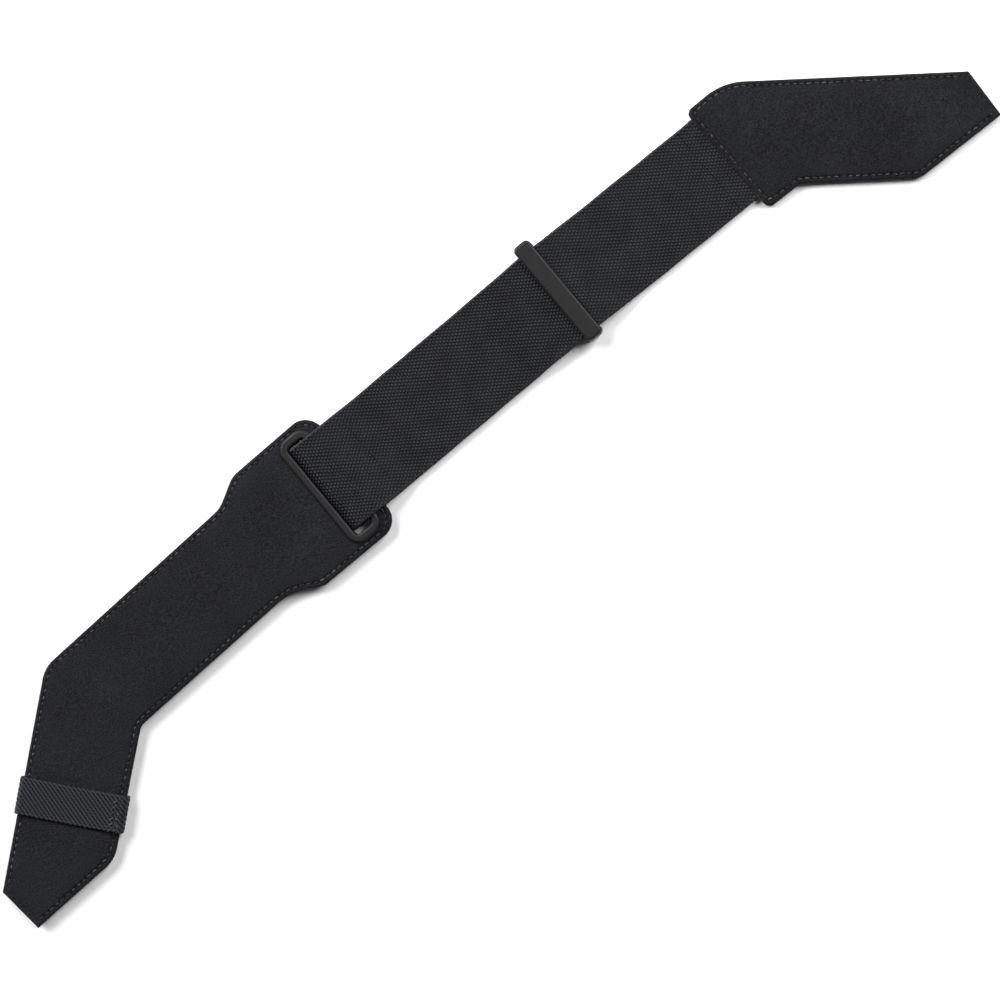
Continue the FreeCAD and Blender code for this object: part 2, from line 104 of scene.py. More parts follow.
def roundedLine(points, radii, step=0.05):
    # Straight runs through the points; each inner corner becomes the arc that touches both its runs.
    points = np.asarray(points, float)
    line = [points[:1]]
    for before, corner, after, radius in zip(points, points[1:], points[2:], radii):
        into = (corner - before) / np.linalg.norm(corner - before)
        out = (after - corner) / np.linalg.norm(after - corner)
        turn = math.atan2(into[0] * out[1] - into[1] * out[0], float(into @ out))
        reach = radius * math.tan(abs(turn) / 2)
        side = math.copysign(1.0, turn)
        centre = corner - into * reach + np.array([-into[1], into[0]]) * radius * side
        first = corner - into * reach - centre
        angles = np.linspace(0, turn, max(3, int(abs(turn) * radius / step)))
        cos, sin = np.cos(angles), np.sin(angles)
        line.append(centre + np.stack([first[0] * cos - first[1] * sin, first[0] * sin + first[1] * cos], -1))
    line.append(points[-1:])
    return np.concatenate(line)


def evenly(line, step):
    # The same line as points a step apart along it, and how far along each one is.
    along = np.concatenate([[0], np.cumsum(np.linalg.norm(np.diff(line, axis=0), axis=1))])
    line = line[np.concatenate([[True], np.diff(along) > 1e-9])]
    along = np.unique(along)
    spots = np.linspace(0, along[-1], max(2, int(round(along[-1] / step)) + 1))
    return np.stack([np.interp(spots, along, line[:, 0]), np.interp(spots, along, line[:, 1])], -1), spots


def newGroup(name, settings, outputs):
    # A shader group with a vector and some number settings going in, and heights or masks coming out.
    group = bpy.data.node_groups.new(name, "ShaderNodeTree")
    group.interface.new_socket(name="Vector", in_out="INPUT", socket_type="NodeSocketVector")
    for label, value in settings.items():
        socket = group.interface.new_socket(name=label, in_out="INPUT", socket_type="NodeSocketFloat")
        socket.default_value = value
    for label in outputs:
        group.interface.new_socket(name=label, in_out="OUTPUT", socket_type="NodeSocketFloat")
    return group, group.nodes.new("NodeGroupInput"), group.nodes.new("NodeGroupOutput")


def wire(tree, source, target):
    tree.links.new(source, target)


def calc(tree, operation, *values):
    # A Math node; each value is a number or a socket.
    node = tree.nodes.new("ShaderNodeMath")
    node.operation = operation
    for socket, value in zip(node.inputs, values):
        if isinstance(value, (int, float)):
            socket.default_value = value
        else:
            wire(tree, value, socket)
    return node.outputs[0]


def weaveGroup():
    # Staggered dots of a woven elastic: the product of two cosines, one along the cloth and one across it,
    # plus half a cosine along it at twice the rate.
    group, given, put = newGroup("basketWeave", {"Along": 2.0, "Across": 1.5}, ["Height"])
    split = group.nodes.new("ShaderNodeSeparateXYZ")
    wire(group, given.outputs["Vector"], split.inputs[0])
    waves = []
    for axis, pitch in (("X", "Along"), ("Y", "Across")):
        turns = calc(group, "DIVIDE", split.outputs[axis], given.outputs[pitch])
        waves.append(calc(group, "COSINE", calc(group, "MULTIPLY", turns, 2 * math.pi)))
    dots = calc(group, "MULTIPLY", waves[0], waves[1])
    rows = calc(group, "MULTIPLY_ADD", calc(group, "MULTIPLY", waves[0], waves[0]), 2.0, -1.0)
    wire(group, calc(group, "MULTIPLY_ADD", rows, 0.5, dots), put.inputs["Height"])
    return group


def ribGroup():
    # Slanting ribs: a cosine of the distance along plus slope times the distance across. Each rib is beaded
    # by a weaker cosine of the distance across. The second output is high in the grooves, for painted shade
    # there.
    group, given, put = newGroup("twillRib", {"Pitch": 2.0, "Slope": 1.0, "Yarn": 1.1}, ["Height", "ValleyShade"])
    split = group.nodes.new("ShaderNodeSeparateXYZ")
    wire(group, given.outputs["Vector"], split.inputs[0])
    slanted = calc(group, "MULTIPLY_ADD", split.outputs["Y"], given.outputs["Slope"], split.outputs["X"])
    turns = calc(group, "DIVIDE", slanted, given.outputs["Pitch"])
    rib = calc(group, "COSINE", calc(group, "MULTIPLY", turns, 2 * math.pi))
    yarns = calc(group, "DIVIDE", split.outputs["Y"], given.outputs["Yarn"])
    yarn = calc(group, "COSINE", calc(group, "MULTIPLY", yarns, 2 * math.pi))
    wire(group, calc(group, "MULTIPLY_ADD", yarn, 0.25, rib), put.inputs["Height"])
    beaded = calc(group, "MULTIPLY_ADD", yarn, 0.4, rib)
    wire(group, calc(group, "MULTIPLY_ADD", beaded, -0.4, 0.5), put.inputs["ValleyShade"])
    return group


def grainGroup():
    # Cloth grain: a fine and a coarse noise, each put out by itself.
    group, given, put = newGroup("clothGrain", {"Fine": 2500.0, "Coarse": 60.0}, ["Fine", "Coarse"])
    for label in ("Fine", "Coarse"):
        noise = group.nodes.new("ShaderNodeTexNoise")
        noise.inputs["Detail"].default_value = 3.0
        wire(group, given.outputs["Vector"], noise.inputs["Vector"])
        wire(group, given.outputs[label], noise.inputs["Scale"])
        wire(group, noise.outputs["Fac"], put.inputs[label])
    return group


def wearAndHighlightGroup():
    # Edge wear and painted highlight: one minus the dot product of the surface's normal and its softened
    # normal, times a gain and a noise. The mask lightens the colour along edges, for both wear and a painted
    # highlight.
    group, given, put = newGroup("edgeWearAndHighlight", {"Radius": 0.0006, "Scale": 500.0, "Gain": 6.0}, ["Mask"])
    soft = group.nodes.new("ShaderNodeBevel")
    soft.samples = 4
    wire(group, given.outputs["Radius"], soft.inputs["Radius"])
    plain = group.nodes.new("ShaderNodeNewGeometry")
    dot = group.nodes.new("ShaderNodeVectorMath")
    dot.operation = "DOT_PRODUCT"
    wire(group, soft.outputs["Normal"], dot.inputs[0])
    wire(group, plain.outputs["Normal"], dot.inputs[1])
    bend = calc(group, "MULTIPLY", calc(group, "SUBTRACT", 1.0, dot.outputs["Value"]), given.outputs["Gain"])
    noise = group.nodes.new("ShaderNodeTexNoise")
    wire(group, given.outputs["Vector"], noise.inputs["Vector"])
    wire(group, given.outputs["Scale"], noise.inputs["Scale"])
    mask = calc(group, "MULTIPLY", bend, noise.outputs["Fac"])
    mask.node.use_clamp = True
    wire(group, mask, put.inputs["Mask"])
    return group


basketWeave = weaveGroup()
twillRib = ribGroup()
clothGrain = grainGroup()
edgeWearAndHighlight = wearAndHighlightGroup()


def newMaterial(name):
    material = bpy.data.materials.new(name)
    material.use_nodes = True
    return material, material.node_tree, material.node_tree.nodes["Principled BSDF"]


def useGroup(tree, group, vector, **values):
    # A shared group placed in a material, with that material's own values.
    node = tree.nodes.new("ShaderNodeGroup")
    node.node_tree = group
    wire(tree, vector, node.inputs["Vector"])
    for label, value in values.items():
        node.inputs[label].default_value = value
    return node


def objectPlace(tree):
    return tree.nodes.new("ShaderNodeTexCoord").outputs["Object"]


def clothPlace(tree):
    # The piece's own cloth map, in millimetres.
    node = tree.nodes.new("ShaderNodeUVMap")
    node.uv_map = "cloth"
    return node.outputs["UV"]


def mixColour(tree, share, dark, light):
    # A colour between two, each a tuple or a socket, by a share that varies over the surface.
    node = tree.nodes.new("ShaderNodeMix")
    node.data_type = "RGBA"
    wire(tree, share, node.inputs["Factor"])
    for label, colour in (("A", dark), ("B", light)):
        socket = [s for s in node.inputs if s.name == label and s.type == "RGBA"][0]
        if isinstance(colour, tuple):
            socket.default_value = (*colour, 1.0)
        else:
            wire(tree, colour, socket)
    return [s for s in node.outputs if s.type == "RGBA"][0]


def bump(tree, shader, *layers):
    # Bump nodes in a chain: each layer is a height and its depth in metres.
    normal = None
    for height, depth in layers:
        node = tree.nodes.new("ShaderNodeBump")
        node.inputs["Distance"].default_value = depth
        wire(tree, height, node.inputs["Height"])
        if normal is not None:
            wire(tree, normal, node.inputs["Normal"])
        normal = node.outputs["Normal"]
    wire(tree, normal, shader.inputs["Normal"])


webbing = {
    "width": 39.8,
    "thickness": 1.5,
    "repeatAlong": 2.174,   # of the weave
    "repeatAcross": 1.55,
    "depth": 0.10,          # height of the woven dots
    "sunk": 0.05,           # how far their middle lies below the strip's face
    "wander": 0.25,
    "selvedge": 1.1,
    "cord": 0.07,           # height, place from the edge and width of the cord along each edge
    "cordPlace": 0.95,
    "cordWidth": 0.4,
    "step": 0.27,
}
keeper = {
    "middle": (-157.1, -30.45),
    "turn": -50.3,
    "width": 14.8,
    "thickness": 1.0,
    "reach": 21.8,          # half its outer length across the arm
    "corner": 2.1,
    "rib": 1.92,            # pitch of the slanting ribs, and how far they lean per distance across
    "slope": 1.02,
    "ribDepth": 0.13,
    "ribSunk": 0.05,
    "sag": 0.10,
    "wander": 0.12,
    "seam": 17.75,          # the chevron row: distance from the middle, width, pitch and thread radius
    "seamWidth": 3.7,
    "seamPitch": 2.2,
    "seamThread": 0.36,
}

# Fine and coarse are how often the grain's noises repeat: per metre, or per millimetre on a piece's own cloth
# map. Each pair is a gain and an offset, for a noise, a wave or a distance. Depths are in metres.
# The panel's hole colour is painted shade for the needle pits.
panelLook = {
    "dark": (0.0010, 0.0011, 0.0016), "light": (0.0172, 0.0178, 0.0212), "hole": (0.0003, 0.0003, 0.0004),
    "fine": 1800.0, "coarse": 38.0, "speck": (2.4, -0.8), "shade": (0.5, -0.25),
    "grainDepth": 0.0003, "roughness": 0.85, "gloss": 0.12, "sheen": 0.2, "sheenRoughness": 0.3,
}
webbingLook = {
    "dark": (0.0010, 0.0010, 0.0014), "light": (0.0285, 0.0300, 0.0370),
    "fine": 2.6, "coarse": 0.12, "speck": (4.4, -1.2), "shade": (1.8, 0.1), "dots": (0.34, 0.24),
    "edge": (3.0, -57.0), "cord": (1.6, -0.2),
    "grainDepth": 0.00016, "weaveDepth": 0.00012, "roughness": 0.62, "gloss": 0.14,
}
keeperLook = {
    "dark": (0.0004, 0.0004, 0.0007), "light": (0.0285, 0.0300, 0.0370),
    "fine": 2.8, "coarse": 0.2, "speck": (3.2, -0.9), "valleyShade": (-1.1, 1.0),
    "grainDepth": 0.00014, "ribDepth": 0.0001, "roughness": 0.6, "gloss": 0.18,
}
threadLook = {
    "dark": (0.003, 0.003, 0.004), "light": (0.060, 0.062, 0.070),
    "fine": 4200.0, "coarse": 420.0, "shade": (3.4, -1.45),
    "grainDepth": 0.00008, "roughness": 0.45, "gloss": 0.3,
}
plasticLook = {
    "dark": (0.0075, 0.0075, 0.0083), "light": (0.024, 0.024, 0.026),      # moulded, and lighter along the edges: wear and a painted highlight
    "fine": 3500.0, "coarse": 300.0, "rough": (0.16, 0.42),
    "grainDepth": 0.00003, "gloss": 0.22,
}
foamLook = {
    "dark": (0.003, 0.003, 0.003), "light": (0.008, 0.008, 0.009),
    "fine": 1800.0, "coarse": 400.0, "shade": (1.0, 0.0),
    "grainDepth": 0.0002, "roughness": 0.95,
}


def setSurface(shader, look):
    # The settings that are the same all over a surface.
    for label, key in (("Roughness", "roughness"), ("Specular IOR Level", "gloss"),
                       ("Sheen Weight", "sheen"), ("Sheen Roughness", "sheenRoughness")):
        if key in look:
            shader.inputs[label].default_value = look[key]


def stretch(tree, value, pair):
    return calc(tree, "MULTIPLY_ADD", value, *pair)


def grainOf(tree, vector, look):
    return useGroup(tree, clothGrain, vector, Fine=look["fine"], Coarse=look["coarse"])


def paint(tree, shader, share, look):
    # Base colour: between the look's dark and light by the share, kept between 0 and 1.
    share.node.use_clamp = True
    wire(tree, mixColour(tree, share, look["dark"], look["light"]), shader.inputs["Base Color"])


def panelMaterial():
    material, tree, shader = newMaterial("brushedKnit")
    grain = grainOf(tree, objectPlace(tree), panelLook)
    speck = stretch(tree, grain.outputs["Fine"], panelLook["speck"])
    blend = calc(tree, "ADD", speck, stretch(tree, grain.outputs["Coarse"], panelLook["shade"]))
    blend.node.use_clamp = True
    cloth = mixColour(tree, blend, panelLook["dark"], panelLook["light"])
    # Painted shade: the needle pits take the near-black hole colour, for the shade inside them.
    needle = tree.nodes.new("ShaderNodeAttribute")
    needle.attribute_name = "needle"
    pitShaded = mixColour(tree, needle.outputs["Fac"], cloth, panelLook["hole"])
    wire(tree, pitShaded, shader.inputs["Base Color"])
    setSurface(shader, panelLook)
    bump(tree, shader, (grain.outputs["Fine"], panelLook["grainDepth"]))
    return material


def webbingMaterial():
    material, tree, shader = newMaterial("elasticWebbing")
    cloth = clothPlace(tree)
    weave = useGroup(tree, basketWeave, cloth, Along=webbing["repeatAlong"], Across=webbing["repeatAcross"])
    grain = grainOf(tree, cloth, webbingLook)
    # Painted highlight and painted shade: the colour follows the weave's height, lighter on the dots and darker
    # between them.
    dots = stretch(tree, weave.outputs["Height"], webbingLook["dots"])
    dots.node.use_clamp = True
    speck = stretch(tree, grain.outputs["Fine"], webbingLook["speck"])
    shade = stretch(tree, grain.outputs["Coarse"], webbingLook["shade"])
    share = calc(tree, "MULTIPLY", dots, calc(tree, "MULTIPLY", speck, shade))
    share.node.use_clamp = True
    split = tree.nodes.new("ShaderNodeSeparateXYZ")
    wire(tree, cloth, split.inputs[0])
    edge = stretch(tree, calc(tree, "ABSOLUTE", split.outputs["Y"]), webbingLook["edge"])
    edge.node.use_clamp = True
    cord = calc(tree, "MULTIPLY", edge, stretch(tree, grain.outputs["Fine"], webbingLook["cord"]))
    paint(tree, shader, calc(tree, "MAXIMUM", share, cord), webbingLook)
    setSurface(shader, webbingLook)
    bump(tree, shader, (weave.outputs["Height"], webbingLook["weaveDepth"]),
         (grain.outputs["Fine"], webbingLook["grainDepth"]))
    return material


def keeperMaterial():
    material, tree, shader = newMaterial("ribbedElastic")
    cloth = clothPlace(tree)
    rib = useGroup(tree, twillRib, cloth, Pitch=keeper["rib"], Slope=keeper["slope"])
    grain = grainOf(tree, cloth, keeperLook)
    speck = stretch(tree, grain.outputs["Fine"], keeperLook["speck"])
    # Painted shade: the colour darkens in the grooves between the ribs.
    valleyShade = calc(tree, "MULTIPLY", rib.outputs["ValleyShade"], calc(tree, "SQRT", rib.outputs["ValleyShade"]))
    share = calc(tree, "MULTIPLY", stretch(tree, valleyShade, keeperLook["valleyShade"]), speck)
    paint(tree, shader, share, keeperLook)
    setSurface(shader, keeperLook)
    bump(tree, shader, (rib.outputs["Height"], keeperLook["ribDepth"]),
         (grain.outputs["Fine"], keeperLook["grainDepth"]))
    return material


def plainMaterial(name, look):
    # The thread and the foam: the coarse noise alone shades them.
    material, tree, shader = newMaterial(name)
    grain = grainOf(tree, objectPlace(tree), look)
    paint(tree, shader, stretch(tree, grain.outputs["Coarse"], look["shade"]), look)
    setSurface(shader, look)
    bump(tree, shader, (grain.outputs["Fine"], look["grainDepth"]))
    return material


def plasticMaterial():
    material, tree, shader = newMaterial("satinPlastic")
    spot = objectPlace(tree)
    wearAndHighlight = useGroup(tree, edgeWearAndHighlight, spot)
    grain = grainOf(tree, spot, plasticLook)
    # Painted highlight and wear: the edge mask lightens the base colour along every edge.
    base = mixColour(tree, wearAndHighlight.outputs["Mask"], plasticLook["dark"], plasticLook["light"])
    wire(tree, base, shader.inputs["Base Color"])
    setSurface(shader, plasticLook)
    wire(tree, stretch(tree, grain.outputs["Coarse"], plasticLook["rough"]), shader.inputs["Roughness"])
    bump(tree, shader, (grain.outputs["Fine"], plasticLook["grainDepth"]))
    return material


brushedKnit = panelMaterial()
elasticWebbing = webbingMaterial()
ribbedElastic = keeperMaterial()
polyesterThread = plainMaterial("polyesterThread", threadLook)
satinPlastic = plasticMaterial()
closedCellFoam = plainMaterial("closedCellFoam", foamLook)
print("materials ready")


# Corners are x, y and radius. Each chain runs from the webbing end to the sleeve's mouth.
leftArm = {
    "side": "left",
    "seed": 3,
    "upper": [(12.0, 20.0, 0), (12.0, 28.0, 8.0), (-27.0, 27.5, 12.0), (-38.5, 21.1, 12.0),
              (-131.1, 17.6, 14.0), (-200.1, -39.2, 0)],
    "lower": [(12.0, -20.3, 0), (12.0, -28.3, 8.0), (-26.5, -28.1, 6.0), (-38.0, -21.5, 25.0),
              (-116.5, -24.0, 4.5), (-158.0, -57.5, 14.0), (-198.1, -58.8, 0)],
    "hole": (4.95, 22.4),
    "pocket": (-199.1, -49.0, -140.5),
    "seat": None,
}
rightArm = {
    "side": "right",
    "seed": 5,
    "upper": [(197.65, 19.4, 0), (197.6, 22.4, 3.0), (216.0, 22.3, 25.0), (290.4, -35.3, 0)],
    "lower": [(198.35, -23.4, 0), (198.4, -26.4, 3.0), (213.8, -27.0, 1.5), (250.2, -54.9, 9.0),
              (289.25, -56.05, 0)],
    "hole": None,
    "pocket": (289.8, -45.7, -37.8),
    "seat": (212.2, 20.4),
}
armShape = {
    "rim": 1.05,            # rounding of the cut edge
    "pinch": 0.42,          # how far the stitched edge is pulled down below the middle
    "pinchReach": 3.2,
    "groove": 0.24,         # dip along the stitch line
    "grooveWidth": 0.55,
    "needle": 0.28,         # depth and radius of the pits where the needle went through
    "needleRadius": 0.62,
    "inset": 1.95,          # stitch line from the edge
    "crown": 0.28,          # swelling in the middle, and how far from the edge it takes to rise
    "crownReach": 6.0,
    "wave": 0.10,
    "waveReach": 5.0,
    "squeeze": 0.42,        # how far the keeper band presses the arm in
    "frontUnder": 0.8,      # how much of the pinch each inner face and the back panel take
    "backUnder": 0.5,
    "backPinch": 0.75,
    "backGroove": 0.8,
    "pocketHalf": (44.0, 6.5),      # half size of the pocket, which is centred on the sleeve's mouth
}
armMesh = {
    "station": 0.55,        # spacing along the arm
    "cornerRun": 8.0,
    "lastStations": (0.25, 0.55, 0.9),
    "nearEdge": (0, 0.12, 0.28, 0.5, 0.8, 1.15, 1.5, 1.85, 2.2, 2.6, 3.1, 3.8, 4.8, 6.2, 8.0),
    "middleRows": 20,
}


def chain(corners):
    # The rounded line through an arm's corners.
    return roundedLine([c[:2] for c in corners], [c[2] for c in corners[1:-1]])


def armGrid(arm):
    # Stations run along the arm and each is a straight line from the lower edge to the upper one. Rows crowd
    # together near both edges, because the rim and the stitched groove are there.
    upper, lower = chain(arm["upper"]), chain(arm["lower"])
    turn = np.linspace(0, math.pi / 2, 14)      # stations crowd towards the square end's rounded corners
    cornerRun = abs(upper[0, 0] - arm["upper"][0][0]) + armMesh["cornerRun"]
    total = abs(arm["upper"][-1][0] - arm["upper"][0][0])
    first = cornerRun * (1 - np.cos(turn)) / total
    rest = np.linspace(first[-1], 1, int(total / armMesh["station"]))[1:]
    last = 1 - np.array(armMesh["lastStations"]) / total
    share = np.unique(np.concatenate([first, rest, last]))
    edges = []
    for line in (upper, lower):
        order = np.argsort(line[:, 0], kind="stable")
        x = line[0, 0] + (line[-1, 0] - line[0, 0]) * share
        y = np.interp(x, line[order, 0], line[order, 1])
        y[0] = line[0, 1]
        edges.append(np.stack([x, y], -1))
    near = np.array(armMesh["nearEdge"])
    height = edges[0][:, 1] - edges[1][:, 1]
    middle = np.linspace(0, 1, armMesh["middleRows"] + 2)[1:-1]
    fromLow = near[None, :] / height[:, None]
    between = near[-1] / height[:, None] + (1 - 2 * near[-1] / height[:, None]) * middle[None, :]
    rows = np.concatenate([fromLow, between, 1 - fromLow[:, ::-1]], axis=1)
    grid = edges[1][:, None, :] + (edges[0] - edges[1])[:, None, :] * rows[:, :, None]
    outline = np.concatenate([upper[::-1], lower])
    return grid, outline


def edgeDistance(points, outline):
    # Distance of each point from a closed outline, as the least distance to any of its short straight pieces.
    line, _ = evenly(np.concatenate([outline, outline[:1]]), 1.2)
    a, b = line[:-1], line[1:]
    step = b - a
    flat = points.reshape(-1, 2)
    best = np.full(len(flat), 1e9)
    for part in np.array_split(np.arange(len(flat)), 24):
        gap = flat[part, None, :] - a[None]
        share = np.clip((gap * step).sum(-1) / (step * step).sum(-1), 0, 1)
        best[part] = np.linalg.norm(gap - share[..., None] * step, axis=-1).min(1)
    return best.reshape(points.shape[:-1])


def softWaves(points, size):
    # Slow, shallow waves: a sum of four sines in different directions.
    x, y = points[..., 0], points[..., 1]
    total = 0
    for angle, length, phase in ((0.3, 31.0, 0.4), (1.2, 23.0, 2.1), (2.2, 41.0, 1.0), (2.9, 17.0, 3.3)):
        total = total + np.sin(2 * math.pi * (x * math.cos(angle) + y * math.sin(angle)) / length + phase)
    return size * total / 4


def shell(name, grid, high, low, material, keep=None, marks=None):
    # A closed sheet: the grid at two heights, with walls wherever a kept face has no neighbour. Marks become
    # the needle attribute that its material reads.
    rows, columns = grid.shape[:2]
    count = rows * columns
    flat = grid.reshape(-1, 2)
    vertices = np.concatenate([
        np.column_stack([flat, high.ravel()]),
        np.column_stack([flat, low.ravel()]),
    ])
    faces = gridQuads(rows, columns)
    if keep is not None:
        faces = faces[keep(flat[faces].mean(1))]
    a, b, c = (flat[faces[:, i]] for i in (0, 1, 2))
    turn = (b - a)[:, 0] * (c - a)[:, 1] - (b - a)[:, 1] * (c - a)[:, 0]
    if turn.sum() < 0:
        faces = faces[:, ::-1]
    edges = np.stack([faces, np.roll(faces, -1, axis=1)], -1).reshape(-1, 2)
    ahead = edges[:, 0] * count + edges[:, 1]
    back = edges[:, 1] * count + edges[:, 0]
    rim = edges[~np.isin(ahead, back)]
    walls = np.stack([rim[:, 0], rim[:, 0] + count, rim[:, 1] + count, rim[:, 1]], -1)
    quads = np.concatenate([faces, faces[:, ::-1] + count, walls])
    used = np.unique(quads)
    renumber = np.zeros(2 * count, int)
    renumber[used] = np.arange(len(used))
    piece = makePiece(name, place(vertices[used]), renumber[quads], material)
    if marks is not None:
        layer = piece.data.attributes.new("needle", "FLOAT", "POINT")
        layer.data.foreach_set("value", np.tile(marks.ravel(), 2)[used].astype(np.float32))
    return piece


def outside(middle, size, turn=0.0):
    # A test for face centres that lie outside a rectangle with this middle, half size and turn.
    cos, sin = math.cos(math.radians(turn)), math.sin(math.radians(turn))

    def test(points):
        away = points - np.array(middle)
        along = away[:, 0] * cos + away[:, 1] * sin
        across = away[:, 1] * cos - away[:, 0] * sin
        return (np.abs(along) > size[0]) | (np.abs(across) > size[1])

    return test


def everyTest(*tests):
    # A face is kept where all the tests that are there agree.
    tests = [test for test in tests if test is not None]
    return (lambda points: np.logical_and.reduce([test(points) for test in tests])) if tests else None


stitchShape = {
    "pitch": 2.8,
    "length": 1.85,
    "radius": 0.31,
    "thinToThick": (0.72, 1.22),    # times the radius, different on each stitch
    "stray": 0.13,                  # how far a stitch's far end strays
    "backRadius": 0.2,
    "hiddenFrom": -2.0,             # the return webbing hides the left arm's back stitches from here on
    "hiddenHalf": 21.5,
    "anchorRun": 3.0,               # stitches this near the right arm's webbing end hold the webbing
    "sides": 6,
    "rings": 6,
}


def stitchRow(starts, ends, heights, radius, arch=0.30):
    # Many short lengths of thread at once: each is a tube whose thickness and height follow half a sine, so
    # its two ends go down into the cloth.
    shape = stitchShape
    along = np.linspace(0, 1, shape["rings"])
    swell = np.sin(math.pi * (0.12 + 0.76 * along))
    turn = np.arange(shape["sides"]) * 2 * math.pi / shape["sides"]
    way = ends - starts
    length = np.linalg.norm(way, axis=1, keepdims=True)
    way = way / length
    cross = np.stack([-way[:, 1], way[:, 0]], -1)
    middle = starts[:, None, :] + way[:, None, :] * (along[None, :, None] * length[:, None, :])
    swell = swell[None, :, None]
    flat = middle[:, :, None, :] + cross[:, None, None, :] * (radius * swell * np.cos(turn))[..., None]
    sign = np.sign(heights[1])
    rise = heights[0] + sign * arch * (swell - 0.55) + radius * 0.8 * swell * np.sin(turn)
    rise = np.broadcast_to(rise, flat.shape[:3])
    vertices = np.concatenate([flat, rise[..., None]], -1).reshape(-1, 3)
    per = shape["rings"] * shape["sides"]
    quads = gridQuads(shape["rings"], shape["sides"], wrap=True)[:, ::-1]
    offsets = np.arange(len(starts)) * per
    faces = (quads[None] + offsets[:, None, None]).reshape(-1, 4)
    first = np.arange(shape["sides"])
    fans = [f for o in offsets for f in (first + o, (first + o + per - shape["sides"])[::-1])]
    return vertices, faces, fans


def joinRows(rows):
    # Several meshes as one: each one's faces count on from the vertices before it.
    vertices, faces, fans, base = [], [], [], 0
    for v, f, n in rows:
        vertices.append(v)
        faces.append(f + base)
        fans += [fan + base for fan in n]
        base += len(v)
    return np.concatenate(vertices), np.concatenate(faces), fans


def insideLine(outline, inset):
    # The outline moved in by the inset, without the loops that tight corners leave.
    line, _ = evenly(np.concatenate([outline, outline[:1]]), 0.3)
    way = np.roll(line, -1, axis=0) - np.roll(line, 1, axis=0)
    way /= np.linalg.norm(way, axis=1, keepdims=True) + 1e-12
    area = np.cross(outline, np.roll(outline, -1, axis=0)).sum()
    normal = np.stack([-way[:, 1], way[:, 0]], -1) * np.sign(area)
    moved = line + normal * inset
    return moved[edgeDistance(moved, outline) > inset - 0.03]


def lockstitch(outline, mouth, seed):
    # Where the stitches start and end round one arm: evenly along the inset line, but not across the mouth.
    line = insideLine(outline, armShape["inset"])
    line, _ = evenly(np.concatenate([line, line[:1]]), stitchShape["pitch"])
    starts, ends = line[:-1], line[1:]
    random = np.random.default_rng(seed)
    reach = stitchShape["length"] / stitchShape["pitch"]
    ends = starts + (ends - starts) * reach + random.normal(0, stitchShape["stray"], starts.shape)
    a, b = (np.array(point) for point in mouth)
    share = np.clip(((starts - a) @ (b - a)) / ((b - a) @ (b - a)), 0, 1)
    away = np.linalg.norm(starts - a - share[:, None] * (b - a), axis=1)
    unbroken = np.linalg.norm(ends - starts, axis=1) < 2 * stitchShape["length"]
    good = (away > armShape["inset"] + 1.0) & unbroken
    return starts[good], ends[good]


def surfaceDrop():
    # How far below the panel's flat top the stitch line lies.
    inset = armShape["inset"]
    return armShape["pinch"] * math.exp(-inset / armShape["pinchReach"]) + armShape["groove"] \
        - armShape["crown"] * (1 - math.exp(-inset / armShape["crownReach"]))


def stitchPiece(name, rows, body, node):
    vertices, faces, fans = joinRows(rows)
    piece = makePiece(name, place(vertices), faces, polyesterThread, fans)
    piece.data.polygons.foreach_set("use_smooth", np.ones(len(piece.data.polygons), bool))
    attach(piece, body)
    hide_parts(node)
    return piece


def armStitches(arm, starts, ends):
    # The stitches of one arm on its front and its back, and those that hold the webbing as a piece apart.
    side = arm["side"]
    front = top(side + "_front_panel") - surfaceDrop() + 0.04
    back = foot(side + "_back_panel") + surfaceDrop() - 0.10
    random = np.random.default_rng(arm["seed"])
    thick = stitchShape["radius"] * random.uniform(*stitchShape["thinToThick"], (len(starts), 1, 1))
    anchor, clear = np.zeros(len(starts), bool), np.ones(len(starts), bool)
    if side == "right":
        anchor = starts[:, 0] < arm["upper"][0][0] + stitchShape["anchorRun"]
    else:
        hidden = (starts[:, 0] > stitchShape["hiddenFrom"]) & (np.abs(starts[:, 1]) < stitchShape["hiddenHalf"])
        clear = ~hidden
    for name, node, picked in (
        (side + "_lockstitch", side + "_perimeter_stitching", ~anchor),
        ("anchor_lockstitch", "webbing_anchor_stitching", anchor),
    ):
        if not picked.any():
            continue
        under = picked & clear
        rows = [stitchRow(starts[picked], ends[picked], (front, 1), thick[picked]),
                stitchRow(starts[under], ends[under], (back, -1), stitchShape["backRadius"], arch=0.12)]
        stitchPiece(name, rows, side + "_arm", node)


def needleMarks(grid, edge, starts, ends):
    # How deep each point of an arm lies in a needle pit: a bell curve of its distance from the nearest gap
    # between two stitches, worked out only for the points near the stitch line.
    holes = (ends + np.roll(starts, -1, axis=0)) / 2
    holes = holes[np.linalg.norm(ends - np.roll(starts, -1, axis=0), axis=1) < stitchShape["pitch"]]
    marks = np.zeros(edge.shape)
    near = np.abs(edge - armShape["inset"]) < 3 * armShape["needleRadius"]
    gap = np.linalg.norm(grid[near][:, None] - holes[None], axis=-1).min(1)
    marks[near] = np.exp(-(gap / armShape["needleRadius"]) ** 2)
    return marks


def bandPlace(points):
    # Where points lie on the keeper band: along the arm from its middle, and across the arm.
    angle = math.radians(keeper["turn"])
    away = points - np.array(keeper["middle"])
    return (away[..., 1] * math.cos(angle) - away[..., 0] * math.sin(angle),
            away[..., 0] * math.cos(angle) + away[..., 1] * math.sin(angle))


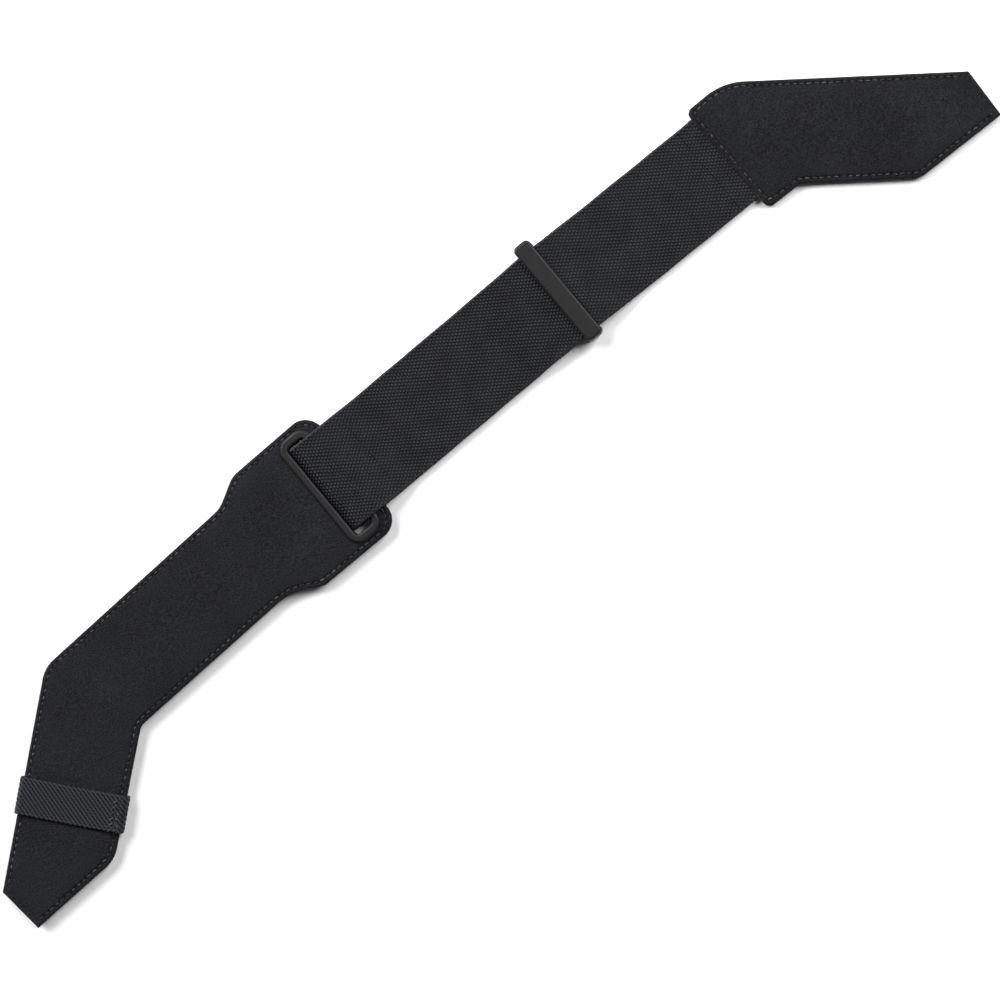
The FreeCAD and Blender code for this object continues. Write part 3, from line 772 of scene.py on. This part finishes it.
def buildArm(arm):
    # Front panel, foam core and back panel of one arm. The two panels swell in the middle, dip along the
    # stitch line and close up towards the cut edge.
    side, shape = arm["side"], armShape
    grid, outline = armGrid(arm)
    edge = edgeDistance(grid, outline)
    starts, ends = lockstitch(outline, (arm["upper"][-1][:2], arm["lower"][-1][:2]), arm["seed"])
    pit = needleMarks(grid, edge, starts, ends)
    pinch = shape["pinch"] * np.exp(-edge / shape["pinchReach"])
    groove = shape["groove"] * np.exp(-((edge - shape["inset"]) / shape["grooveWidth"]) ** 2)
    crown = shape["crown"] * (1 - np.exp(-edge / shape["crownReach"]))
    rim = shape["rim"] - np.sqrt(np.maximum(shape["rim"] ** 2 - np.maximum(shape["rim"] - edge, 0) ** 2, 0))
    waves = softWaves(grid, shape["wave"]) * (1 - np.exp(-edge / shape["waveReach"]))
    if side == "left":
        along, _ = bandPlace(grid)
        waves = waves - shape["squeeze"] * np.exp(-(along / (0.62 * keeper["width"])) ** 4)
    frontNode, coreNode, backNode = side + "_front_panel", side + "_foam_core", side + "_back_panel"
    seamHigh, seamLow = foot(frontNode), top(backNode)
    hole = outside((0, 0), arm["hole"]) if arm["hole"] else None
    pocket = outside(arm["pocket"][:2], shape["pocketHalf"], arm["pocket"][2])
    seat = outside((arm["seat"][0] - 40, 0.35), (40, arm["seat"][1])) if arm["seat"] else None

    coreHigh, coreLow = seamHigh - shape["frontUnder"] * pinch, seamLow + shape["backUnder"] * pinch
    high = top(frontNode) - pinch - groove - rim + crown + waves - shape["needle"] * pit
    low = foot(backNode) + shape["backPinch"] * pinch + shape["backGroove"] * groove + rim \
        + shape["needle"] * pit
    front = shell(frontNode + "_cloth", grid, high, coreHigh, brushedKnit, hole, pit)
    back = shell(backNode + "_cloth", grid, coreLow, low, brushedKnit, hole, pit)
    inner = grid.mean(1, keepdims=True) + (grid - grid.mean(1, keepdims=True)) * 0.988
    rows, columns = (np.unique(np.append(np.arange(0, n, 2), n - 1)) for n in grid.shape[:2])
    pick = np.ix_(rows, columns)
    core = shell(coreNode + "_foam", inner[pick], coreHigh[pick], coreLow[pick], closedCellFoam,
                 everyTest(hole, pocket, seat))
    area = abs(np.cross(outline, np.roll(outline, -1, axis=0)).sum()) / 2 * mm * mm
    for piece, node in ((front, frontNode), (core, coreNode), (back, backNode)):
        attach(piece, side + "_arm")
        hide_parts(node)
    armStitches(arm, starts, ends)


buildArm(leftArm)
buildArm(rightArm)
print("arms built and stitched")


def bandSection(width, thickness, step, fineOuter=True, fineInner=False):
    # Distances across a band and heights above its middle, round its cross-section: two flat sides,
    # close-spaced where the weave shows, joined by half-round edges.
    flat = width / 2 - thickness / 2
    outer = np.linspace(-flat, flat, int(2 * flat / (step if fineOuter else 2.0)))
    inner = np.linspace(flat, -flat, int(2 * flat / (step if fineInner else 2.0)))
    turn = np.linspace(math.pi / 2, -math.pi / 2, 7)[1:-1]
    half = thickness / 2
    bulge, rise = np.cos(turn) * half, np.sin(turn) * half
    across = np.concatenate([outer, flat + bulge, inner, -flat - bulge])
    height = np.concatenate([np.full(len(outer), half), rise, np.full(len(inner), -half), -rise])
    return across, height


def carry(path, across, height, lift, closed=False):
    # A cross-section carried along a path in the XZ plane: each point is the path's point, plus its height
    # and its lift along the path's normal, plus its distance across along Y.
    if closed:
        way = np.roll(path, -1, axis=0) - np.roll(path, 1, axis=0)
    else:
        way = np.gradient(path, axis=0)
    way /= np.linalg.norm(way, axis=1, keepdims=True)
    out = height[None, :] + lift
    points = np.empty((len(path), len(across), 3))
    points[..., 0] = path[:, :1] - way[:, 1:] * out
    points[..., 2] = path[:, 1:] + way[:, :1] * out
    points[..., 1] = across
    rows, columns = points.shape[:2]
    faces = gridQuads(rows, columns, wrap=True, closed=closed)
    ends = [] if closed else [np.arange(columns), np.arange(columns)[::-1] + (rows - 1) * columns]
    return points, faces, ends


def weave(name, route, radii, middle, phase=0.0, fineOuter=True, fineInner=False, drift=0.0):
    # A woven strip along a rounded route, with basketWeave's dots standing up from it. A slow sine makes
    # their rows wander. Drift moves the strip's centre line sideways, evenly along its length.
    shape = webbing
    path, along = evenly(roundedLine(route, radii), shape["step"])
    across, height = bandSection(shape["width"], shape["thickness"], shape["step"], fineOuter, fineInner)
    spot = along[:, None] + phase + shape["wander"] * np.sin(across / 5.3 + along[:, None] / 19.0)
    lengthwise = 2 * math.pi * spot / shape["repeatAlong"]
    sideways = 2 * math.pi * across / shape["repeatAcross"]
    dots = np.cos(lengthwise) * np.cos(sideways) + 0.5 * np.cos(2 * lengthwise)
    face = (np.abs(height) > shape["thickness"] / 2 - 1e-6) * np.sign(height)
    fromEdge = shape["width"] / 2 - np.abs(across)
    inside = np.clip(fromEdge / shape["selvedge"] - 0.6, 0, 1) * face
    cord = shape["cord"] * np.exp(-((fromEdge - shape["cordPlace"]) / shape["cordWidth"]) ** 2) * face
    lift = (shape["depth"] * dots - shape["sunk"]) * inside + cord
    points, faces, ends = carry(path, across, height, lift)
    points[..., 1] += middle + drift * (along / along[-1])[:, None]
    points[..., 1] += 0.05 * np.sin(spot / 3.7 + np.sign(across))
    uv = np.stack(np.broadcast_arrays(spot, across[None, :]), -1).reshape(-1, 2)
    piece = makePiece(name, place(points.reshape(-1, 3)), faces, elasticWebbing, ends, uv)
    return piece, float(along[-1])


def levelAt(node, edge):
    # The middle of a webbing layer whose upper or lower side is the top or the foot of that node.
    half = webbing["thickness"] / 2
    return top(node) - half if edge == "top" else foot(node) + half


sliderLow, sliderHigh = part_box("slider_buckle")
sliderX = ((sliderLow[0] + sliderHigh[0]) / 2 - slotMiddle[0]) / mm
overFrame = levelAt("webbing_slot_fold", "top")
onTable = levelAt("webbing_return_span", "foot")
resting = levelAt("webbing_front_span", "foot")
overTail = levelAt("webbing_return_span", "top")
overBar = levelAt("webbing_end_loop", "top")
underBar = levelAt("webbing_end_loop", "foot")
inSlider = levelAt("webbing_front_span", "top")
sewnIn = levelAt("webbing_sewn_end", "foot")
route = {
    "foldLeft": (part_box("webbing_slot_fold")[0][0] - slotMiddle[0]) / mm + webbing["thickness"] / 2 - 0.55,
    "slopeTop": 8.5,
    "slopeFoot": 26.3,
    "foldFrom": 12.5,       # a place along the fold, given to across()
    "bendLeft": 20.0,       # where one piece of webbing ends and the next begins
    "bendRight": 190.0,
    "rightMouth": 198.0,
    "sewnTo": 212.0,
    "riseFrom": sliderX - 30.3,
    "riseTo": sliderX - 19.3,
    "tail": sliderX - 18.0,
    "stepFrom": sliderX - 11.3,
    "stepTo": sliderX - 5.0,
    "loopEnd": sliderX + 3.2,
    "dropFrom": sliderX + 5.7,
    "dropTo": sliderX + 23.7,
}
loopY, upperDrift = 0.65, -1.45
overTailClear = overTail + webbing["thickness"] + 0.3
share = (route["bendLeft"] - route["slopeTop"]) / (route["slopeFoot"] - route["slopeTop"])
slopeCut = (route["bendLeft"], overFrame + (resting - overFrame) * share)
foldRadius = (overFrame - onTable) / 2 - 0.01

fold, foldLength = weave(
    "webbing_fold",
    [(route["bendLeft"], onTable), (route["foldLeft"], onTable), (route["foldLeft"], overFrame),
     (route["slopeTop"], overFrame), slopeCut],
    [foldRadius, foldRadius, 12.0], loopY)
front, frontLength = weave(
    "webbing_front",
    [slopeCut, (route["slopeFoot"], resting), (route["riseFrom"], resting), (route["riseTo"], overTailClear),
     (route["stepFrom"], overTailClear), (route["stepTo"], inSlider), (sliderX, inSlider)],
    [20.0, 30.0, 20.0, 15.0, 15.0], loopY, phase=foldLength)
back, backLength = weave(
    "webbing_return",
    [(route["bendLeft"], onTable), (route["riseFrom"], onTable), (route["riseTo"], overTail),
     (route["tail"], overTail)],
    [30.0, 8.0], loopY, fineOuter=False, fineInner=True)
loop, loopLength = weave(
    "webbing_loop_end",
    [(route["tail"], overTail), (route["stepFrom"], overTail), (route["stepTo"], overBar),
     (route["loopEnd"], overBar), (route["loopEnd"], underBar), (route["tail"], underBar)],
    [12.0, 12.0, 1.45, 1.45], loopY, phase=backLength)
upper, upperLength = weave(
    "webbing_upper",
    [(sliderX, inSlider), (route["dropFrom"], inSlider), (route["dropTo"], sewnIn),
     (route["bendRight"], sewnIn)],
    [20.0, 30.0], loopY, phase=foldLength + frontLength, fineInner=True, drift=upperDrift)
sewn, sewnLength = weave(
    "webbing_sewn",
    [(route["bendRight"], sewnIn), (route["sewnTo"], sewnIn)], [], loopY + upperDrift,
    phase=foldLength + frontLength + upperLength, fineInner=True)

for piece, node, length, held, under in (
    (fold, "webbing_slot_fold", foldLength, "folded", "slot_frame_front"),
    (front, "webbing_front_span", frontLength, "stretched", "slider_buckle"),
    (back, "webbing_return_span", backLength, "stretched", "slider_buckle"),
    (loop, "webbing_end_loop", loopLength, "folded", "slider_buckle"),
    (upper, "webbing_upper_span", upperLength, "stretched", "slider_buckle"),
    (sewn, "webbing_sewn_end", sewnLength, "laid", "right_back_panel"),
):
    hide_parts(node)


def across(piece, first, second, start, end, level):
    # Works out two places along the strap and bakes the piece's transform into its mesh.
    bendFrom, bendTo = (tuple(place((x, loopY, level))) for x in (start, end))
    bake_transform(piece)


across(fold, "left_arm", "webbing_loop", route["foldFrom"], route["bendLeft"] - 0.5, overFrame)
across(front, "webbing_loop", "slider", route["bendLeft"] + 2.0, route["riseTo"], resting)
across(back, "webbing_loop", "slider", route["bendLeft"] + 2.0, route["riseTo"], onTable)
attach(loop, "slider")
across(upper, "slider", "webbing_end", sliderX + 6.0, route["bendRight"] - 2.0, sewnIn)
across(sewn, "webbing_end", "right_arm", route["bendRight"] + 0.5, route["rightMouth"], sewnIn)
print("webbing woven")


def turned(points, turn, middle):
    # Points turned about Z by an angle in degrees, then moved.
    cos, sin = math.cos(math.radians(turn)), math.sin(math.radians(turn))
    x, y, z = (points[..., i] for i in range(3))
    return np.stack([x * cos - y * sin + middle[0], x * sin + y * cos + middle[1], z], -1)


def buildKeeper():
    # A band carried round a flat rounded loop, with twillRib's ribs standing up from it. The loop's top sags
    # a little in the middle.
    shape = keeper
    half = shape["thickness"] / 2
    high, low = top("keeper_band") - half, foot("keeper_band") + half
    reach = shape["reach"] - half
    radius = shape["corner"] - half
    corners = [(0, low), (-reach, low), (-reach, high), (reach, high), (reach, low), (0, low)]
    loop = roundedLine(corners, [radius] * 4)
    path, along = evenly(loop, 0.2)
    path, along = path[:-1], along[:-1]
    sag = shape["sag"] * np.cos(path[:, 0] / reach * math.pi / 2) ** 2
    path[:, 1] -= np.where(path[:, 1] > (high + low) / 2, sag, 0)
    acrossBand, height = bandSection(shape["width"], shape["thickness"], 0.2, True, False)
    edge = np.clip((shape["width"] / 2 - np.abs(acrossBand)) / 0.9 - 0.5, 0, 1) * (height > half - 1e-6)
    rib = np.cos(2 * math.pi * (along[:, None] + shape["slope"] * acrossBand[None, :]) / shape["rib"])
    lift = (shape["ribDepth"] * rib - shape["ribSunk"]) * edge
    points, faces, ends = carry(path, acrossBand, height, lift, closed=True)
    points[..., 1] += shape["wander"] * np.sin(along / 9.0)[:, None]
    uv = np.stack(np.broadcast_arrays(along[:, None], acrossBand[None, :]), -1).reshape(-1, 2)
    flat = turned(points.reshape(-1, 3), shape["turn"], shape["middle"])
    piece = makePiece("keeper_ribbed_band", place(flat), faces, ribbedElastic, ends, uv)
    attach(piece, "left_arm")
    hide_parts("keeper_band")


def zigzagRow(x, width, reach, pitch, level, side, radius):
    # Slanting stitches in turn from one side of the seam to the other, each half a pitch further on.
    y = np.arange(-reach, reach, pitch / 2)
    sign = np.where(np.arange(len(y)) % 2, 1.0, -1.0)
    starts = np.stack([x - sign * width / 2, y], -1)
    ends = np.stack([x + sign * width / 2, y + pitch / 2], -1)
    return stitchRow(starts, ends, (level, side), radius, arch=0.10)


def chevronRow(x, width, reach, pitch, level, radius):
    # Arrowheads one behind the other: two slanting stitches that meet at each point of the seam's middle.
    y = np.arange(-reach + 0.62 * pitch, reach, pitch)
    tips = np.stack([np.full(len(y), x), y], -1)
    legs = [tips + np.array([side * width / 2, -0.72 * pitch]) for side in (-1, 1)]
    gap = np.array([0.18, 0.0])
    starts = np.concatenate([tips - gap, tips + gap])
    return stitchRow(starts, np.concatenate(legs), (level, 1), radius, arch=0.12)


buildKeeper()
row = chevronRow(keeper["seam"], keeper["seamWidth"], keeper["width"] / 2 - 0.3, keeper["seamPitch"],
                 top("keeper_band") + 0.02, keeper["seamThread"])
row = (turned(row[0], keeper["turn"], keeper["middle"]), *row[1:])
stitchPiece("keeper_zigzag", [row], "left_arm", "keeper_zigzag_stitching")

tack = {"x": route["tail"] + 4.0, "width": 2.6, "pitch": 1.5, "reach": 17.9, "radius": 0.16}
tackFaces = ((underBar - 0.55 * webbing["thickness"] + 0.02, -1), (overTail + 0.5 * webbing["thickness"], 1))
rows = [zigzagRow(tack["x"], tack["width"], tack["reach"], tack["pitch"], level, side, tack["radius"])
        for level, side in tackFaces]
rows = [(v + np.array([0, loopY, 0]), f, n) for v, f, n in rows]
stitchPiece("loop_tack", rows, "slider", "end_loop_bar_tack")
print("keeper and tacks sewn")


# The moulded parts keep their own shape.
for node in ("slider_buckle", "slot_frame_front", "slot_frame_back"):
    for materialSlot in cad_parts[node].material_slots:
        materialSlot.material = satinPlastic


studio = {
    "floor": (0.86, 0.86, 0.86),
    "floorReach": 8.0,
    "floorLevel": -0.0003,
    "skyHigh": 1.75,
    "skyLow": 0.30,
    "key": 124.0,
    "keySize": 2.1,
    "keyPlace": (-1.55, 1.2, 1.45),     # right, up and towards the camera from the strap's middle
    "fill": 40.0,
    "fillSize": 1.2,
    "fillPlace": (1.0, 0.9, 1.2),
    "lens": 150.0,
    "sensor": 36.0,
    "across": 0.3868,       # width of the view at the strap
    "target": (0.00196, -0.03065, 0.0),
    "turn": 39.8,
    "lean": 5.0,
}

floorMaterial, _, floorShader = newMaterial("paleFloor")
floorShader.inputs["Base Color"].default_value = (*studio["floor"], 1.0)
floorShader.inputs["Roughness"].default_value = 0.9
corners = np.array([(-1, -1), (1, -1), (1, 1), (-1, 1)]) * studio["floorReach"]
corners = np.column_stack([corners, np.full(4, studio["floorLevel"])])
floor = makePiece("floor", corners, np.array([[0, 1, 2, 3]]), floorMaterial)

world = bpy.data.worlds.new("studio")
world.use_nodes = True
sky = world.node_tree
heading = sky.nodes.new("ShaderNodeSeparateXYZ")
wire(sky, sky.nodes.new("ShaderNodeTexCoord").outputs["Generated"], heading.inputs[0])
height = calc(sky, "MAXIMUM", heading.outputs["Z"], 0.0)
glow = calc(sky, "MULTIPLY_ADD", height, studio["skyHigh"] - studio["skyLow"], studio["skyLow"])
seen = sky.nodes.new("ShaderNodeLightPath").outputs["Is Camera Ray"]    # the surround itself looks pale
wire(sky, calc(sky, "MAXIMUM", glow, seen), sky.nodes["Background"].inputs["Strength"])
bpy.context.scene.world = world

turn, lean = math.radians(studio["turn"]), math.radians(studio["lean"])
rightWay = Vector((math.cos(turn), -math.sin(turn), 0))
upWay = Vector((math.sin(turn), math.cos(turn), 0))
backWay = rightWay * math.sin(lean) + Vector((0, 0, math.cos(lean)))
target = Vector(studio["target"])


def addLight(name):
    # A disk lamp turned to the strap's middle.
    light = bpy.data.lights.new(name, "AREA")
    light.shape = "DISK"
    light.size = studio[name + "Size"]
    light.energy = studio[name]
    lamp = bpy.data.objects.new(name, light)
    right, up, near = studio[name + "Place"]
    away = rightWay * right + upWay * up + Vector((0, 0, near))
    lamp.location = target + away
    lamp.rotation_euler = away.to_track_quat("Z", "Y").to_euler()
    bpy.context.scene.collection.objects.link(lamp)


addLight("key")
addLight("fill")

lens = bpy.data.cameras.new("camera")
lens.lens = studio["lens"]
lens.sensor_width = studio["sensor"]
lens.clip_start, lens.clip_end = 0.05, 20.0
camera = bpy.data.objects.new("camera", lens)
acrossWay = rightWay * math.cos(lean) - Vector((0, 0, math.sin(lean)))
distance = studio["across"] * studio["lens"] / lens.sensor_width
turnTo = Matrix((acrossWay, upWay, backWay)).transposed().to_4x4()
camera.matrix_world = Matrix.Translation(target + backWay * distance) @ turnTo
bpy.context.scene.collection.objects.link(camera)
bpy.context.scene.camera = camera
bpy.context.scene.view_settings.view_transform = "Standard"

print("scene ready")
